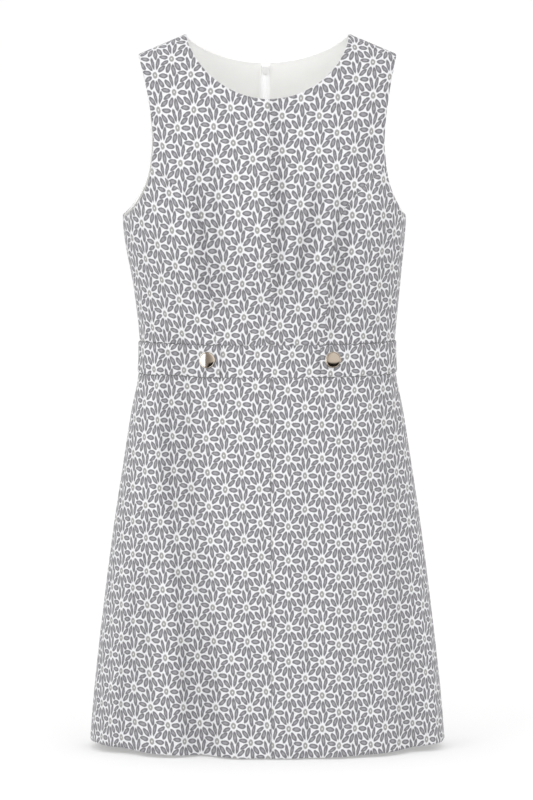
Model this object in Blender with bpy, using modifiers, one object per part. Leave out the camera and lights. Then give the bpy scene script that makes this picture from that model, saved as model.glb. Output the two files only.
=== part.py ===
"""A sleeveless A-line mini dress with a round neck, filled out as if it were worn.

X runs to the wearer's left, Y to the back and Z up, in metres. The origin lies between the two
highest points of the neckline, where the wearer's shoulders carry the dress. Every cloth piece
is a thin wall on one shared form, which is a stack of rounded sections with the shoulders
rolled over on top. A place on the form is given by its turn and its height. The turn is 0 at
the centre front, 1 at the side seam and 2 at the centre back, and it is negative on the
wearer's right.
"""

import math
from collections import namedtuple

import bmesh
import bpy
import numpy as np
from mathutils import Matrix, Vector

# Cloth thicknesses and gaps.
CLOTH_WALL = 0.0015
LINING_WALL = 0.0010
TAPE_WALL = 0.0008
CHAIN_WALL = 0.0015
SEAM_GAP = 0.0003
ZIP_GAP = 0.0016

# Heights below the highest neck points.
BAND_TOP = -0.376
BAND_BOTTOM = -0.418
HEM = -0.8725
UNDERARM = -0.2225
ZIP_END = -0.490

# Neckline and shoulders.
NECK_HALF = 0.0996
FRONT_NECK_DROP = 0.0766
BACK_NECK_DROP = 0.0364
FRONT_NECK_ROUNDNESS = 1.27
BACK_NECK_ROUNDNESS = 1.50
SHOULDER_HALF = 0.1585
SHOULDER_SLOPE = 0.42
SHOULDER_ROLL = 0.080
SHOULDER_TIP = -SHOULDER_SLOPE * (SHOULDER_HALF - NECK_HALF)

# The power of the rounded sections: 2 is an ellipse, more is squarer.
SQUARENESS = 2.25

# Small steps in metres and in turn that the form's slopes are measured over.
NORMAL_STEP = 0.00001
TURN_STEP = 0.01

# A princess seam slants, so its gap is wider when it is measured level.
PRINCESS_GAP = 2 * SEAM_GAP

# The heights on the centre lines that share a row with the armhole notch and the underarm.
CENTRE_FRONT_NOTCH = -0.125
CENTRE_BACK_UNDERARM = -0.215

# Waist tabs and their buttons.
TAB_END = 0.061
TAB_INSET = 0.0004
BUTTON_X = 0.077
BUTTON_RADIUS = 0.0092
BUTTON_HEIGHT = 0.0036
BUTTON_RIM = 0.0018
BUTTON_SHANK_RADIUS = 0.0030
BUTTON_SHANK_HEIGHT = 0.0008
BUTTON_RIM_ANGLE = 60
CROWN_POINTS = 9
RIM_POINTS = 5
TURNED_STEPS = 28
BUTTON_MERGE = 0.00001

# Zip: each tape shows from the zip gap to the lining's edge.
TAPE_OUTER = 0.0082
LINING_START = 0.0088
LINING_INSET = 0.0020
TAPE_INSET = 0.0010
CHAIN_HALF = 0.0026
SLIDER_BELOW_NECK = 0.0078
SLIDER_LENGTH = 0.0115
SLIDER_TOP_HALF = 0.0046
SLIDER_BOTTOM_HALF = 0.0033
SLIDER_DEPTH = 0.0040
SLIDER_BEVEL = 0.0007
EYE_RADIUS = 0.0022
EYE_HOLE = 0.0012
EYE_OUT = 0.0017
EYE_UP = 0.0010
EYE_NECK_HALF = 0.0013
EYE_THICKNESS = 0.0010
EYE_STEPS = 24
PULL_LENGTH = 0.0190
PULL_HALF = 0.0022
PULL_TIP_HALF = 0.0027
PULL_THICKNESS = 0.0010
PULL_SLOT_HALF = 0.0011
PULL_SLOT_LENGTH = 0.0034
PULL_BAR = 0.0005
PULL_TIP_CLEARANCE = 0.0006
PULL_TIP_STEPS = 12
FLAT_MERGE = 0.000001

# Where along the pull its clearance from the cloth is set.
PULL_LOW_SHARE = 0.9

# How many faces each stretch of a panel has.
PRINCESS_ROWS = 12
UPPER_CENTRE_ROWS = 2
FRONT_NECK_ROWS = 7
CENTRE_FRONT_COLUMNS = 7
SIDE_FRONT_COLUMNS = 6
SIDE_SEAM_ROWS = 9
UPPER_BACK_ROWS = 6
BACK_NECK_ROWS = 5
QUARTER_COLUMNS = 10
BAND_ROWS = 2
SKIRT_ROWS = 14

Ring = namedtuple("Ring", "z half_width front back")
RINGS = [
    Ring(-0.8725, 0.2188, 0.1380, 0.1370),
    Ring(-0.8000, 0.2126, 0.1330, 0.1320),
    Ring(-0.7000, 0.2012, 0.1255, 0.1250),
    Ring(-0.6000, 0.1882, 0.1165, 0.1165),
    Ring(-0.5200, 0.1760, 0.1080, 0.1065),
    Ring(-0.4600, 0.1664, 0.0998, 0.0930),
    Ring(-0.4180, 0.1582, 0.0940, 0.0812),
    Ring(-0.3970, 0.1568, 0.0930, 0.0780),
    Ring(-0.3760, 0.1568, 0.0936, 0.0775),
    Ring(-0.3400, 0.1600, 0.0995, 0.0810),
    Ring(-0.3000, 0.1645, 0.1085, 0.0880),
    Ring(-0.2600, 0.1697, 0.1150, 0.0955),
    Ring(-0.2280, 0.1726, 0.1155, 0.0990),
    Ring(-0.1800, 0.1696, 0.1070, 0.0985),
    Ring(-0.1300, 0.1675, 0.0915, 0.0915),
    Ring(-0.0770, 0.1705, 0.0715, 0.0745),
    Ring(-0.0360, 0.1740, 0.0590, 0.0560),
    Ring(0.0000, 0.1765, 0.0500, 0.0470),
]

# The armhole edge from the shoulder tip to the underarm, seen from the front.
ArmholePoint = namedtuple("ArmholePoint", "z half_width")
FRONT_ARMHOLE = [
    ArmholePoint(SHOULDER_TIP, SHOULDER_HALF),
    ArmholePoint(-0.0500, 0.1526),
    ArmholePoint(-0.0800, 0.1468),
    ArmholePoint(-0.1100, 0.1428),
    ArmholePoint(-0.1350, 0.1413),
    ArmholePoint(-0.1580, 0.1426),
    ArmholePoint(-0.1760, 0.1455),
    ArmholePoint(-0.1900, 0.1503),
    ArmholePoint(-0.2020, 0.1567),
    ArmholePoint(-0.2120, 0.1630),
    ArmholePoint(-0.2190, 0.1688),
]
BACK_ARMHOLE = [
    ArmholePoint(SHOULDER_TIP, SHOULDER_HALF),
    ArmholePoint(-0.0500, 0.1540),
    ArmholePoint(-0.0800, 0.1494),
    ArmholePoint(-0.1100, 0.1462),
    ArmholePoint(-0.1350, 0.1450),
    ArmholePoint(-0.1580, 0.1460),
    ArmholePoint(-0.1760, 0.1485),
    ArmholePoint(-0.1900, 0.1523),
    ArmholePoint(-0.2020, 0.1577),
    ArmholePoint(-0.2120, 0.1636),
    ArmholePoint(-0.2190, 0.1690),
]
NOTCH_ROW = 5

# The seam over the bust, from the waist up to the armhole notch.
SeamPoint = namedtuple("SeamPoint", "z x")
PRINCESS_SEAM = [
    SeamPoint(BAND_TOP, 0.0660),
    SeamPoint(-0.3300, 0.0690),
    SeamPoint(-0.2800, 0.0735),
    SeamPoint(-0.2450, 0.0775),
    SeamPoint(-0.2180, 0.0850),
    SeamPoint(-0.1960, 0.1000),
    SeamPoint(-0.1760, 0.1215),
    SeamPoint(-0.1580, 0.1426),
]

# The largest soft forms: fullness over the bust and the flutes of the skirt.
Fold = namedtuple("Fold", "turn_top z_top turn_low z_low half_width out")
FOLDS = [
    Fold(0.36, -0.200, 0.36, -0.250, 0.30, 0.0060),
    Fold(-0.36, -0.200, -0.36, -0.250, 0.30, 0.0060),
    Fold(0.20, -0.560, 0.24, -0.900, 0.11, 0.0030),
    Fold(0.47, -0.540, 0.50, -0.900, 0.12, -0.0035),
    Fold(0.74, -0.560, 0.76, -0.900, 0.12, 0.0032),
    Fold(-0.22, -0.520, -0.30, -0.900, 0.12, -0.0042),
    Fold(-0.50, -0.560, -0.54, -0.900, 0.12, 0.0036),
    Fold(-0.78, -0.600, -0.80, -0.900, 0.11, -0.0026),
    Fold(1.30, -0.560, 1.28, -0.900, 0.13, 0.0036),
    Fold(1.58, -0.540, 1.56, -0.900, 0.12, -0.0034),
    Fold(-1.34, -0.560, -1.36, -0.900, 0.13, 0.0034),
    Fold(-1.66, -0.540, -1.62, -0.900, 0.12, -0.0036),
]
FOLD_END_SOFTNESS = 0.060

MATERIALS = {
    "print_cloth": {"colour": (0.56, 0.56, 0.58), "roughness": 0.75, "metallic": 0.0},
    "lining_cloth": {"colour": (0.86, 0.86, 0.83), "roughness": 0.60, "metallic": 0.0},
    "zip_tape": {"colour": (0.90, 0.90, 0.90), "roughness": 0.70, "metallic": 0.0},
    "zip_metal": {"colour": (0.85, 0.85, 0.84), "roughness": 0.35, "metallic": 0.6},
    "button_metal": {"colour": (0.80, 0.74, 0.62), "roughness": 0.18, "metallic": 1.0},
}

SIDES = {"left": 1.0, "right": -1.0}

# The turns that the front and the back reach. The back starts just past the side seam.
FRONT_TURNS = (0.0, 1.0)
BACK_TURNS = (1.000001, 2.0)


def smooth_value(at, knots, values):
    """A curve through the knots without corners, read at one or many places."""
    knots = np.asarray(knots, float)
    values = np.asarray(values, float)
    slopes = np.gradient(values, knots)
    index = np.clip(np.searchsorted(knots, at) - 1, 0, len(knots) - 2)
    step = knots[index + 1] - knots[index]
    share = (at - knots[index]) / step
    rest = 1 - share
    start = (1 + 2 * share) * rest**2 * values[index]
    end = (3 - 2 * share) * share**2 * values[index + 1]
    leave = share * rest**2 * step * slopes[index]
    arrive = share**2 * rest * step * slopes[index + 1]
    return start + end + leave - arrive


def ring_value(z, column):
    return smooth_value(z, [ring.z for ring in RINGS], [getattr(ring, column) for ring in RINGS])


def shoulder_line(x):
    return -SHOULDER_SLOPE * (np.abs(x) - NECK_HALF)


def roll_share(x, z):
    """How far the shoulder has rolled out at a place: 0 on the shoulder seam, 1 below."""
    drop = np.clip((shoulder_line(x) - z) / SHOULDER_ROLL, 0, 1)
    return np.sqrt(1 - (1 - drop) ** 2)


def form_field(x, y, z):
    """Above 0 inside the form, 0 on it."""
    reach = ring_value(z, "front") if y < 0 else ring_value(z, "back")
    across = (abs(x) / ring_value(z, "half_width")) ** SQUARENESS
    return roll_share(x, z) ** SQUARENESS * (1 - across) - (abs(y) / reach) ** SQUARENESS


def form_normal(point):
    slope = []
    for axis in range(3):
        ahead, behind = np.array(point, float), np.array(point, float)
        ahead[axis] += NORMAL_STEP
        behind[axis] -= NORMAL_STEP
        slope.append(form_field(*behind) - form_field(*ahead))
    return np.array(slope) / np.linalg.norm(slope)


def fold_out(turn, z):
    """How far the folds push the form out at a place."""
    total = 0.0
    for fold in FOLDS:
        along = (z - fold.z_top) / (fold.z_low - fold.z_top)
        centre = fold.turn_top + (fold.turn_low - fold.turn_top) * min(max(along, 0), 1)
        above = max(z - fold.z_top, 0) / FOLD_END_SOFTNESS
        below = max(fold.z_low - z, 0) / FOLD_END_SOFTNESS
        grown = min(max(along, 0), 1) if fold.z_low < HEM else 1.0
        side = (turn - centre) / fold.half_width
        total += fold.out * grown * math.exp(-(above**2) - below**2 - side**2)
    return total


def form_point(turn, z, parted=True):
    """The form's point at a turn and a height. Parted pieces keep clear of the centre lines."""
    angle = abs(turn) * math.pi / 2
    across = abs(math.sin(angle)) ** (2 / SQUARENESS)
    deep = abs(math.cos(angle)) ** (2 / SQUARENESS)
    x = ring_value(z, "half_width") * across
    if parted:
        x = max(x, centre_gap(turn, z) / 2)
    reach = ring_value(z, "front" if angle <= math.pi / 2 else "back")
    y = max(reach * deep * roll_share(x, z), SEAM_GAP / 2)
    point = np.array((math.copysign(x, turn), -y if abs(turn) <= 1 else y, z))
    return point + form_normal(point) * fold_out(turn, z)


def centre_gap(turn, z):
    return ZIP_GAP if abs(turn) > 1 and z > ZIP_END else SEAM_GAP


def turn_at(x, z, back=False):
    """The turn of the place where the form is x away from its middle."""
    share = min(x / ring_value(z, "half_width"), 1.0) ** (SQUARENESS / 2)
    turn = math.asin(share) * 2 / math.pi
    return 2 - turn if back else turn


def neckline(drop, roundness, back, count):
    """Turns and heights from the centre to the highest neck point."""
    places = []
    for angle in np.linspace(0, math.pi / 2, count + 1):
        x = NECK_HALF * math.sin(angle)
        z = -drop * math.cos(angle) ** roundness
        places.append((turn_at(x, z, back), z))
    return places


def shoulder_seam(back, count):
    """Turns and heights from the highest neck point to the shoulder tip."""
    spread = np.linspace(NECK_HALF, SHOULDER_HALF, count + 1)
    return [(turn_at(x, shoulder_line(x), back), shoulder_line(x)) for x in spread]


def resampled(places, count):
    """Evenly spaced places along a smooth curve through the given ones."""
    places = np.array(places)
    points = np.array([form_point(turn, z) for turn, z in places])
    along = np.concatenate([[0], np.cumsum(np.linalg.norm(np.diff(points, axis=0), axis=1))])
    wanted = np.linspace(0, along[-1], count + 1)
    turns = smooth_value(wanted, along, places[:, 0])
    return list(zip(turns, smooth_value(wanted, along, places[:, 1])))


def armhole(table, back):
    """Places along the whole armhole edge, from the shoulder tip to the side seam."""
    places = [(turn_at(row.half_width, row.z, back), row.z) for row in table]
    return places + [(1.0, UNDERARM)]


def level(z, turn_from, turn_to, count):
    return [(turn, z) for turn in np.linspace(turn_from, turn_to, count + 1)]


def upright(turn, *stretches):
    """A seam at one turn. Each stretch is a height to start from, one to reach and a count."""
    places = []
    for start, end, count in stretches:
        heights = np.linspace(start, end, count + 1)
        places += [(turn, z) for z in heights[1 if places else 0 :]]
    return places


def joined(*runs):
    """Several runs of places as one, each starting where the last one ends."""
    places = list(runs[0])
    for run in runs[1:]:
        places += list(run)[1:]
    return places


def patch(bottom, top, inner, outer, turns=FRONT_TURNS):
    """The points of a four-sided piece of the form, from its four edges."""
    bottom, top, inner, outer = (np.array(edge) for edge in (bottom, top, inner, outer))
    u = np.linspace(0, 1, len(bottom))[None, :, None]
    v = np.linspace(0, 1, len(inner))[:, None, None]
    between = (1 - v) * bottom[None] + v * top[None] + (1 - u) * inner[:, None] + u * outer[:, None]
    low = (1 - u) * bottom[0] + u * bottom[-1]
    high = (1 - u) * top[0] + u * top[-1]
    places = between - (1 - v) * low - v * high
    places[..., 0] = np.clip(places[..., 0], *turns)
    return np.array([[form_point(turn, z) for turn, z in row] for row in places])


def moved_out(points, distance):
    flat = points.reshape(-1, 3)
    moved = [point + form_normal(point) * distance for point in flat]
    return np.array(moved).reshape(points.shape)


def mirrored(points, sign):
    return points * np.array((sign, 1, 1))


def point_at_x(row, x):
    """The point of a row of points where it passes x, on the straight line between two of them."""
    return np.array([np.interp(x, row[:, 0], row[:, axis]) for axis in range(3)])


def cut_at_x(points, x):
    """The part of a panel's points that lies beyond a distance from the centre line."""
    return np.array([[point_at_x(row, x)] + [point for point in row if point[0] > x] for row in points])


def drawn_in(edge, beyond, distance):
    """An edge of a panel's points, moved a distance towards the points beyond it."""
    away = beyond - edge
    return edge + away * (distance / np.linalg.norm(away, axis=-1, keepdims=True))


def material_named(name):
    material = bpy.data.materials.get(name)
    if material is None:
        look = MATERIALS[name]
        material = bpy.data.materials.new(name)
        material.use_nodes = True
        shader = material.node_tree.nodes["Principled BSDF"]
        shader.inputs["Base Color"].default_value = (*look["colour"], 1)
        shader.inputs["Roughness"].default_value = look["roughness"]
        shader.inputs["Metallic"].default_value = look["metallic"]
    return material


def add_object(name, data, material, collection):
    piece = bpy.data.objects.new(name, data)
    data.materials.clear()
    data.materials.append(material_named(material))
    collection.objects.link(piece)
    return piece


def cloth_wall(name, outer, inner, material, collection):
    """A closed wall between two sheets of points of the same rows and columns."""
    rows, columns = outer.shape[0] - 1, outer.shape[1] - 1
    bm = bmesh.new()
    number = bm.verts.layers.int.new("number")
    bmesh.ops.create_grid(bm, x_segments=columns, y_segments=rows, size=0.5)
    for vert in bm.verts:
        column = round((vert.co.x + 0.5) * columns)
        row = round((vert.co.y + 0.5) * rows)
        vert[number] = row * (columns + 1) + column
    bmesh.ops.triangulate(bm, faces=bm.faces[:], quad_method="FIXED")
    outer, inner = outer.reshape(-1, 3), inner.reshape(-1, 3)
    for vert in bm.verts:
        vert.co = outer[vert[number]]
    pulled = bmesh.ops.extrude_face_region(bm, geom=bm.faces[:], use_keep_orig=True)
    for vert in pulled["geom"]:
        if isinstance(vert, bmesh.types.BMVert):
            vert.co = inner[vert[number]]
    bmesh.ops.recalc_face_normals(bm, faces=bm.faces[:])
    mesh = bpy.data.meshes.new(name)
    bm.to_mesh(mesh)
    bm.free()
    return add_object(name, mesh, material, collection)


def inward_wall(name, points, material, collection, wall=CLOTH_WALL):
    return cloth_wall(name, points, moved_out(points, -wall), material, collection)


def front_pieces(collection):
    """The bodice front: a centre and a side panel on each side of the centre seam."""
    edge = armhole(FRONT_ARMHOLE, back=False)
    waist = BAND_TOP + SEAM_GAP / 2
    seam = [(turn_at(row.x, row.z), row.z) for row in PRINCESS_SEAM]
    seam[0] = (seam[0][0], waist)
    seam = resampled(seam, PRINCESS_ROWS)
    upper_rows = UPPER_CENTRE_ROWS + FRONT_NECK_ROWS
    upper_edge = resampled(edge[: NOTCH_ROW + 1], upper_rows)[::-1]
    lower_edge = resampled(edge[NOTCH_ROW:], SIDE_FRONT_COLUMNS)
    centre_line = upright(
        0.0,
        (waist, CENTRE_FRONT_NOTCH, PRINCESS_ROWS),
        (CENTRE_FRONT_NOTCH, -FRONT_NECK_DROP, UPPER_CENTRE_ROWS),
    )
    neck = neckline(FRONT_NECK_DROP, FRONT_NECK_ROUNDNESS, False, FRONT_NECK_ROWS)
    centre = patch(
        bottom=level(waist, 0.0, seam[0][0], CENTRE_FRONT_COLUMNS),
        top=shoulder_seam(False, CENTRE_FRONT_COLUMNS),
        inner=joined(centre_line, neck),
        outer=joined(seam, upper_edge),
    )
    parted = [(turn + seam_turn(turn, z), z) for turn, z in seam]
    side_panel = patch(
        bottom=level(waist, parted[0][0], 1.0, SIDE_FRONT_COLUMNS),
        top=[parted[-1]] + lower_edge[1:],
        inner=parted,
        outer=upright(1.0, (waist, UNDERARM, PRINCESS_ROWS)),
    )
    for side, sign in SIDES.items():
        name = "bodice_centre_front_" + side
        inward_wall(name, mirrored(centre, sign), "print_cloth", collection)
        name = "bodice_side_front_" + side
        inward_wall(name, mirrored(side_panel, sign), "print_cloth", collection)


def seam_turn(turn, z):
    """The change of turn that leaves the gap beside a princess seam."""
    width = np.linalg.norm(form_point(turn + TURN_STEP, z) - form_point(turn, z))
    return PRINCESS_GAP * TURN_STEP / width


def back_bodice_points():
    waist = BAND_TOP + SEAM_GAP / 2
    edge = resampled(armhole(BACK_ARMHOLE, back=True), UPPER_BACK_ROWS + BACK_NECK_ROWS)[::-1]
    centre_line = upright(
        2.0,
        (waist, CENTRE_BACK_UNDERARM, SIDE_SEAM_ROWS),
        (CENTRE_BACK_UNDERARM, -BACK_NECK_DROP, UPPER_BACK_ROWS),
    )
    neck = neckline(BACK_NECK_DROP, BACK_NECK_ROUNDNESS, True, BACK_NECK_ROWS)
    return patch(
        bottom=level(waist, 2.0, BACK_TURNS[0], QUARTER_COLUMNS),
        top=shoulder_seam(True, QUARTER_COLUMNS),
        inner=joined(centre_line, neck),
        outer=joined(upright(BACK_TURNS[0], (waist, UNDERARM, SIDE_SEAM_ROWS)), edge),
        turns=BACK_TURNS,
    )


def band_points(side_turn, turns):
    low, high = BAND_BOTTOM + SEAM_GAP / 2, BAND_TOP - SEAM_GAP / 2
    return patch(
        bottom=level(low, side_turn, 1.0, QUARTER_COLUMNS),
        top=level(high, side_turn, 1.0, QUARTER_COLUMNS),
        inner=upright(side_turn, (low, high, BAND_ROWS)),
        outer=upright(1.0, (low, high, BAND_ROWS)),
        turns=turns,
    )


def skirt_points(centre_turn, sign, turns):
    """One quarter of the skirt. The folds of the two sides differ, so the sign picks the side."""
    top = BAND_BOTTOM - SEAM_GAP / 2
    heights = np.linspace(HEM, top, SKIRT_ROWS + 1)
    across = np.clip(np.linspace(centre_turn, 1.0, QUARTER_COLUMNS + 1), *turns)
    return np.array([[form_point(sign * turn, z) for turn in across] for z in heights])


def waist_and_skirt(collection, bands, skirts):
    """The inset waistband and the four quarters of the skirt."""
    left = bands["front"]
    whole = np.concatenate([mirrored(left, -1)[:, :0:-1], left], axis=1)
    middle = QUARTER_COLUMNS
    whole[:, middle, 0] = 0
    inward_wall("waistband_front", whole, "print_cloth", collection)
    for side, sign in SIDES.items():
        points = mirrored(bands["back"], sign)
        inward_wall("waistband_back_" + side, points, "print_cloth", collection)
        inward_wall("skirt_front_" + side, skirts["front", side], "print_cloth", collection)
        inward_wall("skirt_back_" + side, skirts["back", side], "print_cloth", collection)


def back_and_lining(collection, points):
    """The bodice back and the lining that shows inside its neck and armholes."""
    lining = points.copy()
    for row in lining:
        if row[0][0] < LINING_START:
            row[0] = point_at_x(row, LINING_START)
        else:
            row[0] = drawn_in(row[0], row[1], LINING_INSET)
    outer = moved_out(lining, -(CLOTH_WALL + SEAM_GAP))
    inner = moved_out(lining, -(CLOTH_WALL + SEAM_GAP + LINING_WALL))
    for side, sign in SIDES.items():
        inward_wall("bodice_back_" + side, mirrored(points, sign), "print_cloth", collection)
        name = "lining_back_" + side
        pair = mirrored(outer, sign), mirrored(inner, sign)
        cloth_wall(name, *pair, "lining_cloth", collection)


def waist_tabs(collection, band):
    """Half-belts from the side seams that lie on the front of the waistband."""
    points = cut_at_x(band, TAB_END)
    points[0] = drawn_in(points[0], points[1], TAB_INSET)
    points[-1] = drawn_in(points[-1], points[-2], TAB_INSET)
    inner = moved_out(points, SEAM_GAP)
    outer = moved_out(points, SEAM_GAP + CLOTH_WALL)
    for side, sign in SIDES.items():
        pair = mirrored(outer, sign), mirrored(inner, sign)
        cloth_wall("waist_tab_" + side, *pair, "print_cloth", collection)


def frame_at(point, out):
    """A place on the cloth: X across, Y straight out of the cloth, Z up along it."""
    across = np.cross(out, (0.0, 0.0, 1.0))
    across /= np.linalg.norm(across)
    up = np.cross(across, out)
    matrix = Matrix([across, out, up]).transposed().to_4x4()
    matrix.translation = Vector(point)
    return matrix


def button_profile():
    """Down the outer side of a domed button: crown, rim, underside and shank."""
    crown_foot = BUTTON_RADIUS - BUTTON_RIM / 2
    profile = []
    for angle in np.linspace(0, math.pi / 2, CROWN_POINTS):
        rise = BUTTON_HEIGHT - BUTTON_RIM - BUTTON_SHANK_HEIGHT
        height = BUTTON_SHANK_HEIGHT + BUTTON_RIM + rise * math.cos(angle)
        profile.append((crown_foot * math.sin(angle), height))
    rim_middle = BUTTON_SHANK_HEIGHT + BUTTON_RIM / 2
    rim_reach = math.radians(BUTTON_RIM_ANGLE)
    for angle in np.linspace(rim_reach, -rim_reach, RIM_POINTS):
        out = BUTTON_RIM / 2 * math.cos(angle)
        profile.append((crown_foot + out, rim_middle + BUTTON_RIM / 2 * math.sin(angle)))
    profile.append((BUTTON_SHANK_RADIUS, BUTTON_SHANK_HEIGHT))
    profile.append((BUTTON_SHANK_RADIUS, 0.0))
    profile.append((0.0, 0.0))
    return profile


def turned_mesh(name, profile):
    """A profile of radius and height pairs as a chain of edges, ready for a Screw modifier."""
    mesh = bpy.data.meshes.new(name)
    points = [(radius, 0, height) for radius, height in profile]
    mesh.from_pydata(points, [(i, i + 1) for i in range(len(points) - 1)], [])
    return mesh


def waist_buttons(collection, band):
    """A turned metal button on each waist tab."""
    middle_row = band[BAND_ROWS // 2]
    on_band = point_at_x(middle_row, BUTTON_X)
    seat = SEAM_GAP + CLOTH_WALL + SEAM_GAP
    for side, sign in SIDES.items():
        point = on_band * np.array((sign, 1, 1))
        out = form_normal(point)
        name = "button_" + side
        button = add_object(name, turned_mesh(name, button_profile()), "button_metal", collection)
        turned = frame_at(point + out * seat, out) @ Matrix.Rotation(-math.pi / 2, 4, "X")
        button.matrix_world = turned
        screw = button.modifiers.new("Screw", "SCREW")
        screw.steps = screw.render_steps = TURNED_STEPS
        screw.use_merge_vertices = True
        screw.merge_threshold = BUTTON_MERGE


def zip_strip(grids, x_from, x_to):
    """Rows of two points up the centre back, from the zip's end to the neck edge."""
    rows = [row for grid in grids for row in grid[::-1] if row[0][0] < x_to]
    pairs = [(point_at_x(row, max(x_from, row[0][0])), point_at_x(row, x_to)) for row in rows]
    pairs = [pair for pair in pairs if pair[0][2] >= ZIP_END]
    kept = [pairs[0]]
    for pair in pairs[1:]:
        if kept[-1][0][2] - pair[0][2] > 2 * SEAM_GAP:
            kept.append(pair)
    return np.array(kept[::-1])


def zip_fastening(collection, grids, slider_frame):
    """The tapes and the closed chain inside the centre back."""
    tape_in = CLOTH_WALL + SEAM_GAP
    strip = zip_strip(grids, ZIP_GAP / 2, TAPE_OUTER)
    strip[-1] = drawn_in(strip[-1], strip[-2], TAPE_INSET)
    outer = moved_out(strip, -tape_in)
    inner = moved_out(strip, -tape_in - TAPE_WALL)
    for side, sign in SIDES.items():
        pair = mirrored(outer, sign), mirrored(inner, sign)
        cloth_wall("zip_tape_" + side, *pair, "zip_tape", collection)

    chain_in = tape_in + TAPE_WALL + SEAM_GAP
    below_slider = slider_frame @ Vector((0, 0, -SLIDER_LENGTH / 2 - SEAM_GAP))
    half = zip_strip(grids, ZIP_GAP / 2, CHAIN_HALF)
    top_row = [
        [np.interp(below_slider.z, half[:, side, 2], half[:, side, axis]) for axis in range(3)]
        for side in range(2)
    ]
    half = np.array([pair for pair in half if pair[0][2] < below_slider.z] + [top_row])
    across = np.stack([mirrored(half[:, 1], -1), half[:, 1]], axis=1)
    outer = moved_out(across, -chain_in)
    inner = moved_out(across, -chain_in - CHAIN_WALL)
    cloth_wall("zip_chain", outer, inner, "zip_tape", collection)


def flat_piece(name, outlines, thickness):
    """A flat outline with its holes, drawn in X and Y and made a closed mesh."""
    curve = bpy.data.curves.new(name, "CURVE")
    curve.dimensions = "2D"
    curve.fill_mode = "BOTH"
    curve.extrude = thickness / 2
    for outline in outlines:
        spline = curve.splines.new("POLY")
        spline.points.add(len(outline) - 1)
        for point, (x, y) in zip(spline.points, outline):
            point.co = (x, y, 0, 1)
        spline.use_cyclic_u = True
    drawn = bpy.data.objects.new(name, curve)
    bpy.context.scene.collection.objects.link(drawn)
    bpy.context.view_layer.update()
    graph = bpy.context.evaluated_depsgraph_get()
    mesh = bpy.data.meshes.new_from_object(drawn.evaluated_get(graph))
    bpy.data.objects.remove(drawn)
    bm = bmesh.new()
    bm.from_mesh(mesh)
    bmesh.ops.remove_doubles(bm, verts=bm.verts[:], dist=FLAT_MERGE)
    bmesh.ops.recalc_face_normals(bm, faces=bm.faces[:])
    bm.to_mesh(mesh)
    bm.free()
    return mesh


def arc(centre, radius, start, end, count):
    """Points on a circle between two angles in degrees."""
    angles = [math.radians(angle) for angle in np.linspace(start, end, count)]
    return [(centre[0] + radius * math.cos(a), centre[1] + radius * math.sin(a)) for a in angles]


def slider_place():
    """The place on the centre back where the slider sits, just under the neck edge."""
    point = form_point(2.0, -BACK_NECK_DROP - SLIDER_BELOW_NECK)
    point[0] = 0
    out = form_normal(point)
    return frame_at(point, out)


def zip_slider(collection, frame):
    """A tapered slider inside, with an eye that reaches out through the zip gap."""
    body_out = -(CLOTH_WALL + SEAM_GAP + TAPE_WALL + 2 * SEAM_GAP)
    bm = bmesh.new()
    bmesh.ops.create_cube(bm, size=1.0)
    for vert in bm.verts:
        half = SLIDER_TOP_HALF if vert.co.z > 0 else SLIDER_BOTTOM_HALF
        vert.co.x *= 2 * half
        vert.co.y = body_out - SLIDER_DEPTH * (0.5 - vert.co.y)
        vert.co.z *= SLIDER_LENGTH
    bmesh.ops.bevel(
        bm, geom=bm.edges[:], offset=SLIDER_BEVEL, segments=2, affect="EDGES", profile=0.5
    )
    mesh = bpy.data.meshes.new("zip_slider")
    bm.to_mesh(mesh)
    bm.free()
    slider = add_object("zip_slider", mesh, "zip_metal", collection)
    slider.matrix_world = frame

    neck_angle = math.degrees(math.asin(EYE_NECK_HALF / EYE_RADIUS))
    inside = body_out - SLIDER_DEPTH / 2
    ring = arc((EYE_OUT, EYE_UP), EYE_RADIUS, 180 - neck_angle, neck_angle - 180, EYE_STEPS + 1)
    outline = ring + [(inside, EYE_UP - EYE_NECK_HALF), (inside, EYE_UP + EYE_NECK_HALF)]
    hole = arc((EYE_OUT, EYE_UP), EYE_HOLE, 0, 360 - 360 / EYE_STEPS, EYE_STEPS)
    eye_mesh = flat_piece("slider_eye", [outline, hole], EYE_THICKNESS)
    eye = bpy.data.objects.new("slider_eye", eye_mesh)
    bpy.context.scene.collection.objects.link(eye)
    # The outline's X points out of the cloth, its Y up and its thickness across.
    stand = Matrix(((0, 0, 1, 0), (1, 0, 0, 0), (0, 1, 0, 0), (0, 0, 0, 1)))
    eye.matrix_world = frame @ stand
    eye.hide_render = True
    eye.display_type = "WIRE"
    union = slider.modifiers.new("Eye", "BOOLEAN")
    union.operation = "UNION"
    union.object = eye


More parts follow.
